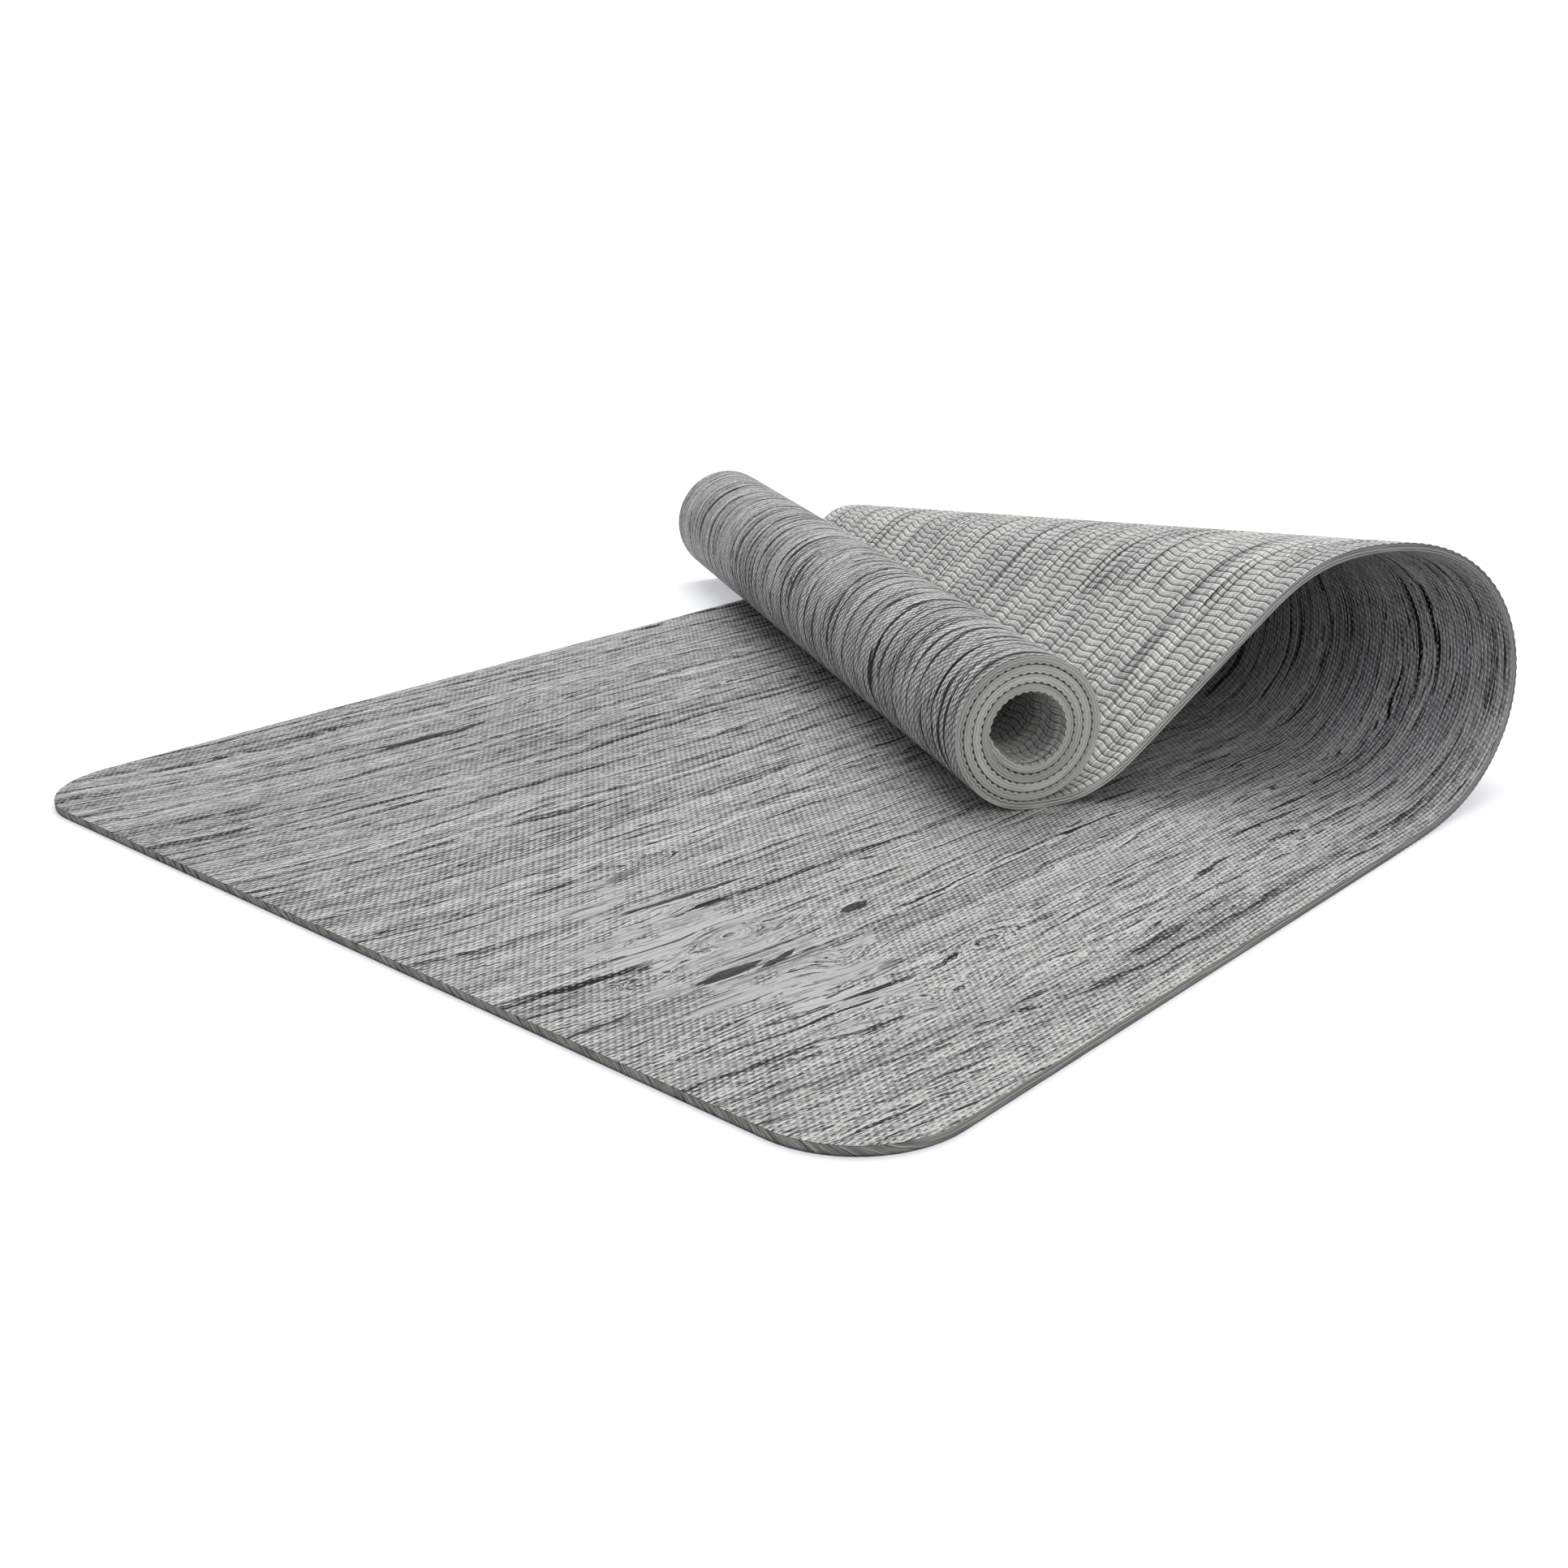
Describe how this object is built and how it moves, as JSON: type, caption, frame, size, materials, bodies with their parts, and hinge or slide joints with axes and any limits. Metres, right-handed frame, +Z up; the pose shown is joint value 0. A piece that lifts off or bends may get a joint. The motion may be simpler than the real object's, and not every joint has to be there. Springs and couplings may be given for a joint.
{
  "type": "yoga mat",
  "caption": "Marbled grey rubber yoga mat, half unrolled: the front lies flat, the sheet folds back over itself at a slant and ends in a roll.",
  "frame": {"origin": "middle of the footprint of the half-unrolled mat, at floor level", "axes": "+X square to the roll, from the front of the mat towards its fold, +Y along the roll from its near end to its far one, +Z up"},
  "size_m": [0.7626, 0.9036, 0.1286],
  "materials": {
    "bed_rubber": "matt marbled natural rubber, finely embossed",
    "fold_rubber": "matt marbled natural rubber, wavy ribs on the underside",
    "roll_rubber": "matt marbled natural rubber, finely embossed"
  },
  "bodies": {
    "bed": {"bed": "bed_rubber"},
    "bend_strip_01": {"bend_strip_01": "fold_rubber"},
    "bend_strip_02": {"bend_strip_02": "fold_rubber"},
    "bend_strip_03": {"bend_strip_03": "fold_rubber"},
    "bend_strip_04": {"bend_strip_04": "fold_rubber"},
    "bend_strip_05": {"bend_strip_05": "fold_rubber"},
    "bend_strip_06": {"bend_strip_06": "fold_rubber"},
    "bend_strip_07": {"bend_strip_07": "fold_rubber"},
    "bend_strip_08": {"bend_strip_08": "fold_rubber"},
    "bend_strip_09": {"bend_strip_09": "fold_rubber"},
    "bend_strip_10": {"bend_strip_10": "fold_rubber"},
    "bend_strip_11": {"bend_strip_11": "fold_rubber"},
    "bend_strip_12": {"bend_strip_12": "fold_rubber"},
    "roll": {"roll": "roll_rubber"}
  },
  "joints": [
    {"name": "bend_01", "type": "hinge", "parent": "bed", "child": "bend_strip_01", "pos_m": [0.21921, 0.06956, 0], "axis": [-0.0868, 0.9962, 0], "range_deg": [0, 0.5]},
    {"name": "bend_02", "type": "hinge", "parent": "bend_strip_01", "child": "bend_strip_02", "pos_m": [0.2767, 0.10431, 0.00633], "axis": [-0.1645, 0.9863, -0.0082], "range_deg": [0, 19.1]},
    {"name": "bend_03", "type": "hinge", "parent": "bend_strip_02", "child": "bend_strip_03", "pos_m": [0.29762, 0.11829, 0.01938], "axis": [-0.1942, 0.9806, -0.0255], "range_deg": [0, 19.09]},
    {"name": "bend_04", "type": "hinge", "parent": "bend_strip_03", "child": "bend_strip_04", "pos_m": [0.30831, 0.1275, 0.03386], "axis": [-0.2099, 0.9767, -0.0448], "range_deg": [0, 19.08]},
    {"name": "bend_05", "type": "hinge", "parent": "bend_strip_04", "child": "bend_strip_05", "pos_m": [0.31215, 0.13384, 0.04792], "axis": [-0.2163, 0.9742, -0.0637], "range_deg": [0, 19.08]},
    {"name": "bend_06", "type": "hinge", "parent": "bend_strip_05", "child": "bend_strip_06", "pos_m": [0.31099, 0.13835, 0.06082], "axis": [-0.2158, 0.9731, -0.0811], "range_deg": [0, 19.08]},
    {"name": "bend_07", "type": "hinge", "parent": "bend_strip_06", "child": "bend_strip_07", "pos_m": [0.30572, 0.14157, 0.07205], "axis": [-0.2097, 0.973, -0.0965], "range_deg": [0, 19.08]},
    {"name": "bend_08", "type": "hinge", "parent": "bend_strip_07", "child": "bend_strip_08", "pos_m": [0.29655, 0.14386, 0.08129], "axis": [-0.1983, 0.974, -0.1093], "range_deg": [0, 19.08]},
    {"name": "bend_09", "type": "hinge", "parent": "bend_strip_08", "child": "bend_strip_09", "pos_m": [0.28263, 0.14548, 0.08793], "axis": [-0.1801, 0.9764, -0.119], "range_deg": [0, 19.08]},
    {"name": "bend_10", "type": "hinge", "parent": "bend_strip_09", "child": "bend_strip_10", "pos_m": [0.25769, 0.14674, 0.09018], "axis": [-0.1459, 0.9816, -0.123], "range_deg": [0, 19.13]},
    {"name": "bend_11", "type": "hinge", "parent": "bend_strip_10", "child": "bend_strip_11", "pos_m": [0.23475, 0.1471, 0.0851], "axis": [-0.1137, 0.9867, -0.1164], "range_deg": [0, 8.9]},
    {"name": "bend_12", "type": "hinge", "parent": "bend_strip_11", "child": "bend_strip_12", "pos_m": [0.1493, 0.14621, 0.00807], "axis": [-0.0195, -0.9998, 0.0051], "range_deg": [0, 10.98]},
    {"name": "bend_13", "type": "hinge", "parent": "bend_strip_12", "child": "roll", "pos_m": [0.12851, 0.14622, 0.0047], "axis": [-0.0511, -0.9987, 0], "range_deg": [0, 10.29]}
  ],
  "couplings": [
    {"joint": "bend_01", "follows": "bend_02", "ratio": 0.026178},
    {"joint": "bend_03", "follows": "bend_02", "ratio": 0.99953},
    {"joint": "bend_04", "follows": "bend_02", "ratio": 0.99904},
    {"joint": "bend_05", "follows": "bend_02", "ratio": 0.99882},
    {"joint": "bend_06", "follows": "bend_02", "ratio": 0.99877},
    {"joint": "bend_07", "follows": "bend_02", "ratio": 0.99877},
    {"joint": "bend_08", "follows": "bend_02", "ratio": 0.99877},
    {"joint": "bend_09", "follows": "bend_02", "ratio": 0.99888},
    {"joint": "bend_10", "follows": "bend_02", "ratio": 1.0016},
    {"joint": "bend_11", "follows": "bend_02", "ratio": 0.46612},
    {"joint": "bend_12", "follows": "bend_02", "ratio": 0.57475},
    {"joint": "bend_13", "follows": "bend_02", "ratio": 0.53878}
  ]
}
